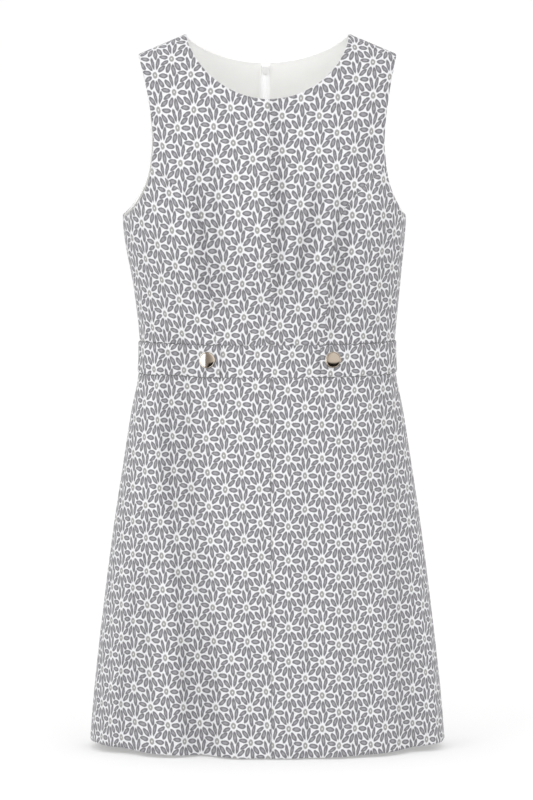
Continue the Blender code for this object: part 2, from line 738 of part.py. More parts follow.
def pull_tab(collection, frame):
    """A flat pull that hangs outside on the slider's eye and turns on its top bar."""
    axis = frame @ Vector((0, EYE_OUT, EYE_UP))
    tip = form_point(2.0, axis.z - PULL_LENGTH * PULL_LOW_SHARE)
    tip[0] = 0
    tip = Vector(tip + form_normal(tip) * (PULL_THICKNESS / 2 + PULL_TIP_CLEARANCE))
    down = (tip - axis).normalized()
    across = Vector((1, 0, 0))
    tip_centre = (0, -PULL_LENGTH + PULL_TIP_HALF)
    corner = (PULL_HALF, PULL_BAR)
    outline = [corner, (-PULL_HALF, PULL_BAR)]
    outline += arc(tip_centre, PULL_TIP_HALF, 180, 360, PULL_TIP_STEPS + 1)
    slot_top, slot_end = -PULL_BAR, -PULL_SLOT_LENGTH
    slot = [
        (-PULL_SLOT_HALF, slot_top),
        (PULL_SLOT_HALF, slot_top),
        (PULL_SLOT_HALF, slot_end),
        (-PULL_SLOT_HALF, slot_end),
    ]
    mesh = flat_piece("zip_pull_tab", [outline, slot], PULL_THICKNESS)
    tab = add_object("zip_pull_tab", mesh, "zip_metal", collection)
    turned = Matrix([across, -down, across.cross(-down)]).transposed()
    tab.matrix_world = Matrix.Translation(axis) @ turned.to_4x4()


def build_dress():
    for old in list(bpy.data.objects):
        bpy.data.objects.remove(old)
    dress = bpy.data.collections.new("a_line_dress")
    bpy.context.scene.collection.children.link(dress)

    back = back_bodice_points()
    bands = {
        "front": band_points(0.0, FRONT_TURNS),
        "back": band_points(2.0, BACK_TURNS),
    }
    skirts = {}
    for side, sign in SIDES.items():
        skirts["front", side] = skirt_points(0.0, sign, FRONT_TURNS)
        skirts["back", side] = skirt_points(2.0, sign, BACK_TURNS)

    front_pieces(dress)
    back_and_lining(dress, back)
    waist_and_skirt(dress, bands, skirts)
    waist_tabs(dress, bands["front"])
    waist_buttons(dress, bands["front"])

    zip_grids = [back, bands["back"], skirts["back", "left"]]
    slider_frame = slider_place()
    zip_fastening(dress, zip_grids, slider_frame)
    zip_slider(dress, slider_frame)
    pull_tab(dress, slider_frame)


build_dress()
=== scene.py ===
import math

import bmesh
import bpy
import numpy as np
from mathutils import Matrix, Vector


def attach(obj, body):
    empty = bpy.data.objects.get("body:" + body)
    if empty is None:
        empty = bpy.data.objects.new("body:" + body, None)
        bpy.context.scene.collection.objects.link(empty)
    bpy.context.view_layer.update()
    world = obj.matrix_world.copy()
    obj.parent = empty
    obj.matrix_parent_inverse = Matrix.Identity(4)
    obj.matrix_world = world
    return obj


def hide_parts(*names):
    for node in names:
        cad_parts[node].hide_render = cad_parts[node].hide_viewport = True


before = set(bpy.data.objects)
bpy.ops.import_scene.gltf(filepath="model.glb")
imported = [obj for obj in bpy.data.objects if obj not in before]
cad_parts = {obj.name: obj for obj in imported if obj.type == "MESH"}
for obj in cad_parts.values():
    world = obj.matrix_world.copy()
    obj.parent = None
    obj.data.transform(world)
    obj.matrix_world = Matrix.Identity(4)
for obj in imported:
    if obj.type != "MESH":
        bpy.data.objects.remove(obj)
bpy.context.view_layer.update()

# A sleeveless A-line mini dress, filled out as worn. X runs to the wearer's left, Y to the back
# and Z up, in metres, from between the highest neck points. A place on the cloth is a turn and a
# height: the turn is 0 at the centre front, 1 at the side seam and 2 at the centre back, and
# negative on the wearer's right.

bodyName = "dress"
sides = {"left": 1, "right": -1}
print("frame loaded")


# height, half width, reach to the front, reach to the back
sections = np.array([
    (-0.8725, 0.2188, 0.1380, 0.1370),
    (-0.8000, 0.2126, 0.1330, 0.1320),
    (-0.7000, 0.2012, 0.1255, 0.1250),
    (-0.6000, 0.1882, 0.1165, 0.1165),
    (-0.5200, 0.1760, 0.1080, 0.1065),
    (-0.4600, 0.1664, 0.0998, 0.0930),
    (-0.4180, 0.1582, 0.0940, 0.0812),
    (-0.3970, 0.1568, 0.0930, 0.0780),
    (-0.3760, 0.1568, 0.0936, 0.0775),
    (-0.3400, 0.1600, 0.0995, 0.0810),
    (-0.3000, 0.1645, 0.1085, 0.0880),
    (-0.2600, 0.1697, 0.1150, 0.0955),
    (-0.2280, 0.1726, 0.1155, 0.0990),
    (-0.1800, 0.1696, 0.1070, 0.0985),
    (-0.1300, 0.1675, 0.0915, 0.0915),
    (-0.0770, 0.1705, 0.0715, 0.0745),
    (-0.0360, 0.1740, 0.0590, 0.0560),
    (0.0000, 0.1765, 0.0500, 0.0470),
])

form = {
    "squareness": 2.25,  # the power of the sections, where 2 is an ellipse
    "neckHalf": 0.0996,
    "shoulderHalf": 0.1585,
    "shoulderSlope": 0.42,
    "shoulderRoll": 0.080,  # how far below the shoulder seam the cloth is still rolling over
    "normalStep": 0.00001,
}

# turn and height at the top, turn and height at the bottom, half width in turns, push outwards
softForms = [
    (0.36, -0.200, 0.36, -0.250, 0.30, 0.0060),
    (-0.36, -0.200, -0.36, -0.250, 0.30, 0.0060),
    (-1.00, -0.205, -1.00, -0.235, 0.35, 0.0045),
    (1.00, -0.205, 1.00, -0.235, 0.35, -0.0028),
    (0.20, -0.560, 0.24, -0.900, 0.11, 0.0030),
    (0.47, -0.540, 0.50, -0.900, 0.12, -0.0035),
    (0.74, -0.560, 0.76, -0.900, 0.12, 0.0032),
    (-0.22, -0.520, -0.30, -0.900, 0.12, -0.0042),
    (-0.50, -0.560, -0.54, -0.900, 0.12, 0.0036),
    (-0.78, -0.600, -0.80, -0.900, 0.11, -0.0026),
    (1.30, -0.560, 1.28, -0.900, 0.13, 0.0036),
    (1.58, -0.540, 1.56, -0.900, 0.12, -0.0034),
    (-1.34, -0.560, -1.36, -0.900, 0.13, 0.0034),
    (-1.66, -0.540, -1.62, -0.900, 0.12, -0.0036),
]
softFormEnd = 0.060

# x and height at the top, x and height at the bottom, half width, push outwards, and how far the
# cloth rises on the line's left and sinks on its right
frontCreases = [
    (-0.0820, -0.155, -0.0710, -0.338, 0.0162, -0.0220, 0.0026),
    (0.0085, -0.080, 0.0090, -0.330, 0.0072, -0.0120, 0.0014),
    (0.0600, -0.175, 0.0300, -0.315, 0.0074, -0.0104, 0.0010),
    (0.0740, -0.190, 0.0550, -0.330, 0.0100, 0.0050, 0.0),
    (0.0270, -0.180, 0.0215, -0.270, 0.0090, 0.0030, 0.0),
    (0.0905, -0.170, 0.0775, -0.370, 0.0086, -0.0112, 0.0012),
    (0.1300, -0.120, 0.1020, -0.205, 0.0150, -0.0060, 0.0),
    (-0.0360, -0.235, -0.0240, -0.335, 0.0100, -0.0036, 0.0),
    (0.1440, -0.190, 0.1400, -0.355, 0.0110, -0.0030, 0.0016),
    (-0.1210, -0.385, -0.1080, -0.665, 0.0225, -0.0300, 0.0044),
    (-0.1040, -0.655, -0.0800, -0.970, 0.0240, -0.0280, 0.0050),
    (-0.1500, -0.600, -0.1900, -0.970, 0.0200, -0.0260, 0.0044),
    (0.0400, -0.480, 0.0440, -0.900, 0.0140, -0.0040, 0.0018),
    (-0.0250, -0.620, -0.0200, -0.900, 0.0150, -0.0036, 0.0016),
    (0.0950, -0.560, 0.1030, -0.900, 0.0170, -0.0040, 0.0020),
    (0.1530, -0.440, 0.1830, -0.970, 0.0190, -0.0225, 0.0030),
]
backCreases = [
    (0.0700, -0.180, 0.0560, -0.330, 0.0120, -0.0100, -0.0024),
    (-0.0660, -0.170, -0.0480, -0.320, 0.0110, -0.0094, 0.0024),
    (0.1150, -0.230, 0.1050, -0.350, 0.0105, -0.0066, -0.0020),
    (-0.1120, -0.240, -0.1020, -0.345, 0.0105, -0.0076, 0.0020),
    (0.0280, -0.270, 0.0240, -0.350, 0.0090, -0.0034, 0.0),
    (0.0800, -0.440, 0.1060, -0.960, 0.0210, -0.0180, -0.0040),
    (-0.0720, -0.450, -0.0980, -0.960, 0.0220, -0.0200, 0.0040),
    (0.1400, -0.600, 0.1640, -0.960, 0.0175, -0.0120, -0.0030),
    (-0.1350, -0.560, -0.1620, -0.960, 0.0185, -0.0116, 0.0030),
    (0.0340, -0.600, 0.0380, -0.900, 0.0140, -0.0040, -0.0016),
]
creaseFade = 0.020  # creases die away this near the side and shoulder seams
creaseEnds = 0.35  # how much of a crease's depth is left at its ends
rollPeak = math.sqrt(2 * math.e)  # brings the greatest rise of a roll to the height listed


def smoothValue(at, knots, values):
    # a curve without corners through the knots
    slopes = np.gradient(values, knots)
    index = np.clip(np.searchsorted(knots, at) - 1, 0, len(knots) - 2)
    step = knots[index + 1] - knots[index]
    share = (at - knots[index]) / step
    rest = 1 - share
    low = (1 + 2 * share) * rest**2 * values[index]
    high = (3 - 2 * share) * share**2 * values[index + 1]
    return low + high + share * rest * step * (rest * slopes[index] - share * slopes[index + 1])


def sectionAt(z):
    return [smoothValue(z, sections[:, 0], sections[:, column]) for column in (1, 2, 3)]


def shoulderLine(x):
    return -form["shoulderSlope"] * (np.abs(x) - form["neckHalf"])


def rollShare(x, z):
    # 0 on the shoulder seam, 1 where the cloth has rolled over
    drop = np.clip((shoulderLine(x) - z) / form["shoulderRoll"], 0, 1)
    return np.sqrt(1 - (1 - drop) ** 2)


def formField(x, y, z):
    power = form["squareness"]
    halfWidth, front, back = sectionAt(z)
    reach = np.where(y < 0, front, back)
    return rollShare(x, z) ** power * (1 - np.abs(x / halfWidth) ** power) - np.abs(y / reach) ** power


def formNormal(points):
    slopes = []
    for axis in range(3):
        step = np.zeros(3)
        step[axis] = form["normalStep"]
        ahead, behind = points + step, points - step
        slopes.append(formField(*np.moveaxis(behind, -1, 0)) - formField(*np.moveaxis(ahead, -1, 0)))
    normals = np.stack(slopes, -1)
    return normals / np.linalg.norm(normals, axis=-1, keepdims=True)


def bodyPoint(turn, z):
    # the plain form, before folds
    angle = np.abs(turn) * math.pi / 2
    power = 2 / form["squareness"]
    halfWidth, front, back = sectionAt(z)
    x = halfWidth * np.abs(np.sin(angle)) ** power
    reach = np.where(np.abs(turn) <= 1, -front, back)
    y = reach * np.abs(np.cos(angle)) ** power * rollShare(x, z)
    return np.stack([np.copysign(x, turn), y, z + 0 * x], -1)


def softFormOut(turn, z):
    total = np.zeros(np.shape(turn))
    for turnTop, zTop, turnLow, zLow, halfWidth, out in softForms:
        along = np.clip((z - zTop) / (zLow - zTop), 0, 1)
        centre = turnTop + (turnLow - turnTop) * along
        above = np.maximum(z - zTop, 0) / softFormEnd
        below = np.maximum(zLow - z, 0) / softFormEnd
        grown = along if zLow < sections[0, 0] else 1.0
        total = total + out * grown * np.exp(-(above**2) - below**2 - ((turn - centre) / halfWidth) ** 2)
    return total


def creaseOut(points):
    x, y, z = np.moveaxis(points, -1, 0)
    total = np.zeros(x.shape)
    for creases, facing in ((frontCreases, -1), (backCreases, 1)):
        share = np.clip(facing * y / creaseFade, 0, 1)
        strength = share * share * (3 - 2 * share)
        for xTop, zTop, xLow, zLow, halfWidth, out, roll in creases:
            runX, runZ = xLow - xTop, zLow - zTop
            length = math.hypot(runX, runZ)
            along = np.clip(((x - xTop) * runX + (z - zTop) * runZ) / length**2, 0, 1)
            away = np.hypot(x - xTop - runX * along, z - zTop - runZ * along) / halfWidth
            toRight = ((z - zTop) * runX - (x - xTop) * runZ) / (length * halfWidth)
            swell = creaseEnds + (1 - creaseEnds) * np.sqrt(np.sin(math.pi * along))
            total += strength * swell * (out - roll * rollPeak * toRight) * np.exp(-(away**2))
    return total


def clothPoint(turn, z):
    # creases sink straight to the back or the front, so that they leave the print as wide as it is
    points = bodyPoint(turn, z)
    moved = points + formNormal(points) * softFormOut(turn, z)[..., None]
    moved[..., 1] += np.sign(points[..., 1]) * creaseOut(points)
    return moved


cut = {
    "bandTop": -0.376,
    "bandBottom": -0.4155,
    "hem": -0.8725,
    "hemDip": 0.0042,  # the hem hangs this much lower at the centres and higher at the sides
    "underarm": -0.2225,
    "zipEnd": -0.490,
    "zipClosing": 0.010,  # the height over which the zip's gap opens
    "frontNeckDrop": 0.0766,
    "backNeckDrop": 0.0364,
    "frontNeckRoundness": 1.27,
    "backNeckRoundness": 1.50,
    "frontNotch": -0.125,  # height on the centre front that shares a row with the armhole notch
    "backNotch": -0.215,
    "notchRow": 5,
    "tabEnd": 0.061,
    "zipGapHalf": 0.00025,
    "tapeOuter": 0.0082,
    "tapeBelowNeck": 0.001,
    "liningStart": 0.0054,
    "liningBelowNeck": 0.0005,
}

# height, and half width of the front and the back armhole's edge
shoulderTip = -form["shoulderSlope"] * (form["shoulderHalf"] - form["neckHalf"])
armholes = np.array([
    (shoulderTip, form["shoulderHalf"], form["shoulderHalf"]), (-0.0500, 0.1526, 0.1522),
    (-0.0800, 0.1468, 0.1466), (-0.1100, 0.1428, 0.1433), (-0.1350, 0.1413, 0.1420),
    (-0.1580, 0.1426, 0.1431), (-0.1760, 0.1455, 0.1460), (-0.1900, 0.1503, 0.1504),
    (-0.2020, 0.1567, 0.1563), (-0.2120, 0.1630, 0.1628), (-0.2190, 0.1688, 0.1688),
])
# height and x of the seam over the bust, from the waist up to the armhole notch
princessSeam = [
    (cut["bandTop"], 0.0660), (-0.3300, 0.0690), (-0.2800, 0.0735), (-0.2450, 0.0775),
    (-0.2180, 0.0850), (-0.1960, 0.1000), (-0.1760, 0.1215), (-0.1580, 0.1426),
]

# how many steps the long edges are drawn with, in proportion to each other
steps = {
    "princess": 96, "upperCentre": 16, "frontNeck": 56, "sideSeam": 72,
    "upperBack": 48, "backNeck": 40, "plain": 60,
}


def turnAt(x, z, back=False):
    share = np.minimum(np.abs(x) / sectionAt(z)[0], 1) ** (form["squareness"] / 2)
    turn = np.arcsin(share) * 2 / math.pi
    return 2 - turn if back else turn


def places(turn, z):
    turn, z = np.broadcast_arrays(np.asarray(turn, float), np.asarray(z, float))
    return np.stack([turn, z], -1)


def neckline(drop, roundness, back, count):
    angle = np.linspace(0, math.pi / 2, count + 1)
    x = form["neckHalf"] * np.sin(angle)
    z = -drop * np.abs(np.cos(angle)) ** roundness
    return places(turnAt(x, z, back), z)


def shoulderSeam(back):
    x = np.linspace(form["neckHalf"], form["shoulderHalf"], steps["plain"] + 1)
    return places(turnAt(x, shoulderLine(x), back), shoulderLine(x))


def evenly(line, count):
    # evenly spaced places on a smooth curve through the given ones
    gaps = np.linalg.norm(np.diff(bodyPoint(line[:, 0], line[:, 1]), axis=0), axis=1)
    along = np.concatenate([[0], np.cumsum(gaps)])
    wanted = np.linspace(0, along[-1], count + 1)
    return places(smoothValue(wanted, along, line[:, 0]), smoothValue(wanted, along, line[:, 1]))


def armholeLine(back):
    z, halfWidth = armholes[:, 0], armholes[:, 2 if back else 1]
    return np.vstack([places(turnAt(halfWidth, z, back), z), [(1.0, cut["underarm"])]])


def level(z, turnFrom, turnTo):
    return places(np.linspace(turnFrom, turnTo, steps["plain"] + 1), z)


def upright(turn, low, high, count):
    return places(turn, np.linspace(low, high, count + 1))


def joined(*runs):
    return np.vstack([runs[0]] + [run[1:] for run in runs[1:]])


def edgeAt(edge, shares):
    knots = np.linspace(0, 1, len(edge))
    return np.stack([np.interp(shares, knots, edge[:, column]) for column in (0, 1)], -1)


def edgeLength(edge):
    return np.linalg.norm(np.diff(bodyPoint(edge[:, 0], edge[:, 1]), axis=0), axis=1).sum()


weaving = {
    "cell": 0.0030,  # size of the mesh's squares
    "fewestCells": 4,
    "wall": 0.0015,
    "edgeLines": (0.0005, 0.0012, 0.0021),  # extra lines beside each edge, so it can turn under
    "edgeDrop": 0.0009,
    "edgeReach": 0.0013,
    "edgeRound": 0.0005,
    "roundShare": 0.4,  # the most of a wall that its rounded edge takes
    "edgeSegments": 2,
    "edgeAngle": 50,  # degrees
    "puckerLength": 0.0125,
    "puckerReach": 0.0090,
    "puckerWander": 2.5,  # how far their waves stray, in radians
    "unevenness": 0.0005,
    "calmEdge": 0.012,  # where the unevenness fades out beside an edge
    "liftReach": 0.006,
}

# height, and the width of the print's repeat there, which is a little larger at the shoulders
repeatTable = np.array([
    (-0.8725, 0.0408), (-0.6000, 0.0412), (-0.4200, 0.0420), (-0.3000, 0.0428),
    (-0.1500, 0.0442), (-0.0500, 0.0458), (0.0, 0.0464),
])
arcSteps = 32
spreadAtSides = 0.25  # the share of the print's spacing that goes by width instead of girth


def repeatWidth(z):
    return np.interp(z, repeatTable[:, 0], repeatTable[:, 1])


def clothUv(turn, z, back, grain):
    # cloth lengths from the centre line and from the waist, counted in repeats of the print
    shares = np.linspace(0, 1, arcSteps + 1)
    start = 2.0 if back else 0.0
    turns = start + (np.abs(turn)[..., None] - start) * shares
    girth = bodyPoint(turns, z[..., None] + 0 * turns)
    pieces = np.diff(girth, axis=-2)
    spacing = (1 - spreadAtSides) * np.linalg.norm(pieces, axis=-1) + spreadAtSides * np.abs(pieces[..., 0])
    across = spacing.sum(-1) / repeatWidth(z)
    heights = cut["bandTop"] + (z[..., None] - cut["bandTop"]) * shares
    rising = bodyPoint(np.abs(turn)[..., None] + 0 * heights, heights)
    lengths = np.linalg.norm(np.diff(rising, axis=-2), axis=-1)
    middles = (heights[..., 1:] + heights[..., :-1]) / 2
    up = (lengths / repeatWidth(middles)).sum(-1) * np.sign(z - cut["bandTop"])
    across = across * np.where(turn < 0, -1, 1)
    movedAcross, movedUp, lean, tilt = grain
    return np.stack([across + lean * up + movedAcross, up + tilt * across + movedUp], -1)


def linesAcross(length):
    count = max(weaving["fewestCells"], round(length / weaving["cell"]))
    near = np.array(weaving["edgeLines"]) / length
    middle = np.linspace(near[-1], 1 - near[-1], count)[1:-1]
    return np.concatenate([[0], near, middle, (1 - near)[::-1], [1]])


def uneven(along):
    # a slow wander made of waves that never line up
    waves = ((0.5, 61, 0.7), (0.3, 137, 2.1), (0.2, 251, 4.4))
    return sum(height * np.sin(along * rate + start) for height, rate, start in waves)


def newObject(name, data):
    made = bpy.data.objects.new(name, data)
    bpy.context.scene.collection.objects.link(made)
    return made


def objectFrom(bm, name, *materials):
    for face in bm.faces:
        face.smooth = True
    mesh = bpy.data.meshes.new(name)
    bm.to_mesh(mesh)
    bm.free()
    for material in materials:
        mesh.materials.append(material)
    return newObject(name, mesh)


def pieceFrom(bm, name, *materials):
    piece = objectFrom(bm, name, *materials)
    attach(piece, bodyName)
    return piece


plainGrain = (0.0, 0.0, 0.0, 0.0)
laying = {
    "side": 1,
    "back": False,
    "limits": None,  # the least and the greatest turn
    "inward": 0.0,  # how far under the form the outer face lies
    "wall": weaving["wall"],
    "rim": 0,  # which of its materials a cut edge shows, counted from the outer face's
    "drop": weaving["edgeDrop"],
    "grain": plainGrain,
    "puckers": {},  # height of the puckers along an edge
    "lift": 0.0,  # how far the inner edge stands off
}


def spotsBetween(edges):
    # turn and height of a grid of places between four edges
    bottom, top, inner, outer = (edges[key] for key in ("bottom", "top", "inner", "outer"))
    width = max(edgeLength(bottom), edgeLength(top))
    height = max(edgeLength(inner), edgeLength(outer))
    u, v = linesAcross(width), linesAcross(height)
    low, high, first, last = edgeAt(bottom, u), edgeAt(top, u), edgeAt(inner, v), edgeAt(outer, v)
    u, v = u[None, :, None], v[:, None, None]
    between = (1 - v) * low[None] + v * high[None] + (1 - u) * first[:, None] + u * last[:, None]
    corners = (1 - v) * ((1 - u) * low[0] + u * low[-1]) + v * ((1 - u) * high[0] + u * high[-1])
    return np.moveaxis(between - corners, -1, 0)


def edgeDistances(points):
    rowGaps = np.linalg.norm(np.diff(points, axis=1), axis=2)
    columnGaps = np.linalg.norm(np.diff(points, axis=0), axis=2)
    fromInner = np.pad(np.cumsum(rowGaps, axis=1), ((0, 0), (1, 0)))
    fromBottom = np.pad(np.cumsum(columnGaps, axis=0), ((1, 0), (0, 0)))
    return {
        "inner": fromInner,
        "outer": fromInner[:, -1:] - fromInner,
        "bottom": fromBottom,
        "top": fromBottom[-1:] - fromBottom,
    }


def surfaceOut(points, how):
    # turned edges, puckers along the seams and a slight unevenness, along the normals
    away = edgeDistances(points)
    x, z = points[..., 0], points[..., 2]
    out = np.full(x.shape, -how["inward"])
    for distance in away.values():
        out -= how["drop"] * np.exp(-((distance / weaving["edgeReach"]) ** 2))
    for edge, height in how["puckers"].items():
        along = away["bottom"] if edge in ("inner", "outer") else away["inner"]
        strayed = weaving["puckerWander"] * uneven(along)
        wave = np.sin(2 * math.pi * along / weaving["puckerLength"] + strayed)
        begun = 1 - np.exp(-away[edge] / weaving["edgeReach"])
        out += height * wave * np.exp(-away[edge] / weaving["puckerReach"]) * begun
    calm = np.clip(np.minimum.reduce(list(away.values())) / weaving["calmEdge"], 0, 1)
    wander = uneven(x * 0.9 + z * 0.35) * uneven(z * 0.8 - x * 0.2 + 0.3)
    out += weaving["unevenness"] * calm * wander
    return out + how["lift"] * np.exp(-away["inner"] / weaving["liftReach"])


def layCloth(name, edges, material, **given):
    # a sheet between four edges, with its outer face on the form
    how = {**laying, **given}
    side, back = how["side"], how["back"]
    turn, z = spotsBetween(edges)
    turn = side * np.clip(turn, *(how["limits"] or ((1, 2) if back else (0, 1))))
    points = clothPoint(turn, z)
    if back:
        gap = cut["zipGapHalf"] * np.clip((z - cut["zipEnd"]) / cut["zipClosing"], 0, 1)
        points[..., 0] = side * np.maximum(side * points[..., 0], gap)
    points = points + formNormal(bodyPoint(turn, z)) * surfaceOut(points, how)[..., None]
    uvs = clothUv(turn, z, back, how["grain"])

    rows, columns = turn.shape[0] - 1, turn.shape[1] - 1
    bm = bmesh.new()
    bmesh.ops.create_grid(bm, x_segments=columns, y_segments=rows, size=0.5)
    spotOf = {}  # row and column
    for vert in bm.verts:
        spotOf[vert] = (round((vert.co.y + 0.5) * rows), round((vert.co.x + 0.5) * columns))
    uvLayer = bm.loops.layers.uv.new("clothMap")
    for face in bm.faces:
        for loop in face.loops:
            loop[uvLayer].uv = uvs[spotOf[loop.vert]]
    for vert in bm.verts:
        vert.co = points[spotOf[vert]]
    if (side < 0) != back:
        bmesh.ops.reverse_faces(bm, faces=bm.faces[:])
    piece = pieceFrom(bm, name, *material)
    thickness = piece.modifiers.new("Cloth thickness", "SOLIDIFY")
    thickness.thickness = how["wall"]
    thickness.offset = -1
    thickness.use_even_offset = False
    thickness.material_offset = len(material) - 1
    thickness.material_offset_rim = how["rim"]
    rounding = piece.modifiers.new("Turned edges", "BEVEL")
    rounding.width = min(weaving["edgeRound"], how["wall"] * weaving["roundShare"])
    rounding.segments = weaving["edgeSegments"]
    rounding.limit_method = "ANGLE"
    rounding.angle_limit = math.radians(weaving["edgeAngle"])
    return piece


def newGroup(name, inputs, outputs):
    group = bpy.data.node_groups.new(name, "ShaderNodeTree")
    for socket, value in inputs.items():
        kind = "NodeSocketVector" if isinstance(value, tuple) else "NodeSocketFloat"
        made = group.interface.new_socket(socket, in_out="INPUT", socket_type=kind)
        made.default_value = value
    for socket in outputs:
        group.interface.new_socket(socket, in_out="OUTPUT", socket_type="NodeSocketFloat")
    return group, group.nodes.new("NodeGroupInput").outputs, group.nodes.new("NodeGroupOutput").inputs


def put(socket, value):
    # a socket takes another node's output or a plain value
    if isinstance(value, bpy.types.NodeSocket):
        socket.id_data.links.new(value, socket)
    else:
        socket.default_value = value


def putAll(sockets, values):
    for socket, value in zip(sockets, values):
        put(socket, value)


def calc(tree, operation, *values):
    node = tree.nodes.new("ShaderNodeMath")
    node.operation = operation
    putAll(node.inputs, values)
    return node.outputs[0]


def calcVector(tree, operation, *values):
    node = tree.nodes.new("ShaderNodeVectorMath")
    node.operation = operation
    sockets = [node.inputs[0], node.inputs["Scale"]] if operation == "SCALE" else node.inputs
    putAll(sockets, values)
    return node.outputs["Value" if operation == "LENGTH" else "Vector"]


def partsOf(tree, vector):
    node = tree.nodes.new("ShaderNodeSeparateXYZ")
    put(node.inputs[0], vector)
    return node.outputs


def softStep(tree, value, low, high, toLow=0.0, toHigh=1.0):
    node = tree.nodes.new("ShaderNodeMapRange")
    node.interpolation_type = "SMOOTHSTEP"
    putAll(node.inputs, (value, low, high, toLow, toHigh))
    return node.outputs[0]


def noiseAt(tree, vector, scale, detail=2.0, colour=False):
    node = tree.nodes.new("ShaderNodeTexNoise")
    put(node.inputs["Vector"], vector)
    put(node.inputs["Scale"], scale)
    put(node.inputs["Detail"], detail)
    return node.outputs["Color" if colour else "Fac"]


def mixColours(tree, factor, first, second):
    node = tree.nodes.new("ShaderNodeMix")
    node.data_type = "RGBA"
    put(node.inputs["Factor"], factor)
    put(node.inputs[6], first)
    put(node.inputs[7], second)
    return node.outputs[2]


def useGroup(tree, group, **values):
    node = tree.nodes.new("ShaderNodeGroup")
    node.node_tree = group
    for name, value in values.items():
        put(node.inputs[name], value)
    return node.outputs


# one flower of the print, measured in repeats
flower = {
    # each petal's middle, its turn in degrees, its length and width, and how much it widens outwards
    "petals": [
        (0.238, -0.014, -5, 0.259, 0.155, 0.05),
        (0.199, 0.190, 43, 0.286, 0.129, 0.05),
        (0.096, 0.352, 78, 0.370, 0.108, 0.15),
        (-0.049, 0.355, 100, 0.370, 0.103, 0.15),
        (-0.153, 0.250, 125, 0.290, 0.132, 0.10),
        (-0.231, 0.062, 173, 0.259, 0.144, -0.20),
        (-0.206, -0.125, 214, 0.261, 0.120, -0.10),
        (-0.106, -0.283, 251, 0.309, 0.132, 0.10),
        (0.036, -0.348, 275, 0.370, 0.125, 0.05),
        (0.152, -0.234, 299, 0.288, 0.136, 0.10),
    ],
    "petalWidth": 0.955,  # the share of its listed width that each petal is drawn with
    "bluntness": 1.95,  # how square the petals' ends are, where 2 is an ellipse
    "fullness": 2.0,
    "ringHalfWidth": 0.064,
    "ringHalfHeight": 0.094,
    "ringThickness": 0.70,
    "edgeSoftness": 0.008,
    "wander": 0.044,  # how far the drawn edges stray
    "wanderScale": 7.0,
}


def bothFlowers(tree, spot):
    # the repeat is a half drop, so a second flower stands between four
    for shift in (0.0, 0.5):
        moved = calcVector(tree, "ADD", spot, (shift, shift, 0))
        yield calcVector(tree, "WRAP", moved, (0.5, 0.5, 0.5), (-0.5, -0.5, -0.5))


def makePetal():
    # how far inside one petal a place of the cloth is, in repeats, with the petal on every flower
    inputs = {
        "Map": (0, 0, 0), "Middle": (0, 0, 0), "Turn": 0.0,
        "HalfLength": 0.1, "HalfWidth": 0.05, "Taper": 0.0,
    }
    group, given, made = newGroup("Petal of the repeat", inputs, ["Inside"])
    nearest = None
    fromMiddle = calcVector(group, "SUBTRACT", given["Map"], given["Middle"])
    for wrapped in bothFlowers(group, fromMiddle):
        turned = group.nodes.new("ShaderNodeVectorRotate")
        turned.rotation_type = "Z_AXIS"
        turned.invert = True
        put(turned.inputs["Vector"], wrapped)
        put(turned.inputs["Angle"], given["Turn"])
        parts = partsOf(group, turned.outputs[0])
        along = calc(group, "DIVIDE", parts["X"], given["HalfLength"])
        narrowed = calc(group, "MULTIPLY_ADD", along, given["Taper"], 1.0)
        across = calc(group, "DIVIDE", parts["Y"], given["HalfWidth"])
        across = calc(group, "DIVIDE", across, narrowed)
        along = calc(group, "POWER", calc(group, "ABSOLUTE", along), flower["bluntness"])
        across = calc(group, "POWER", calc(group, "ABSOLUTE", across), flower["fullness"])
        reach = calc(group, "ADD", along, across)
        nearest = reach if nearest is None else calc(group, "MINIMUM", nearest, reach)
    depth = calc(group, "SUBTRACT", 1.0, calc(group, "POWER", nearest, 1 / flower["fullness"]))
    put(made["Inside"], calc(group, "MULTIPLY", depth, given["HalfWidth"]))
    return group


def makeFlowerPrint(petal):
    group, given, made = newGroup("Flower repeat", {"Map": (0, 0, 0)}, ["Petals", "Ring", "Depth"])
    strays = noiseAt(group, given["Map"], flower["wanderScale"], detail=3.0, colour=True)
    strays = calcVector(group, "SUBTRACT", strays, (0.5, 0.5, 0.5))
    strays = calcVector(group, "MULTIPLY", strays, (flower["wander"], flower["wander"], 0))
    drawn = calcVector(group, "MULTIPLY", calcVector(group, "ADD", given["Map"], strays), (1, 1, 0))
    deepest = None
    for x, y, turn, length, width, taper in flower["petals"]:
        inside = useGroup(
            group, petal, Map=drawn, Middle=(x, y, 0), Turn=math.radians(turn),
            HalfLength=length / 2, HalfWidth=width * flower["petalWidth"] / 2, Taper=taper,
        )["Inside"]
        deepest = inside if deepest is None else calc(group, "MAXIMUM", deepest, inside)
    soft = flower["edgeSoftness"]
    put(made["Petals"], softStep(group, deepest, -soft, soft))
    put(made["Depth"], deepest)
    nearest = None
    ringSize = (flower["ringHalfWidth"], flower["ringHalfHeight"], 1)
    for wrapped in bothFlowers(group, drawn):
        distance = calcVector(group, "LENGTH", calcVector(group, "DIVIDE", wrapped, ringSize))
        nearest = distance if nearest is None else calc(group, "MINIMUM", nearest, distance)
    thickness = flower["ringThickness"]
    fromRing = calc(group, "ABSOLUTE", calc(group, "SUBTRACT", nearest, 1 - thickness / 2))
    put(made["Ring"], softStep(group, fromRing, thickness * 0.3, thickness * 0.8, 1.0, 0.0))
    return group


threads = {
    "height": 0.3,
    "slubsAlong": (60, 4, 1),  # how fast they change across and up the cloth
    "slubsOver": (4, 70, 1),
    "slubHeight": 0.4,
    "shade": 0.12,
}


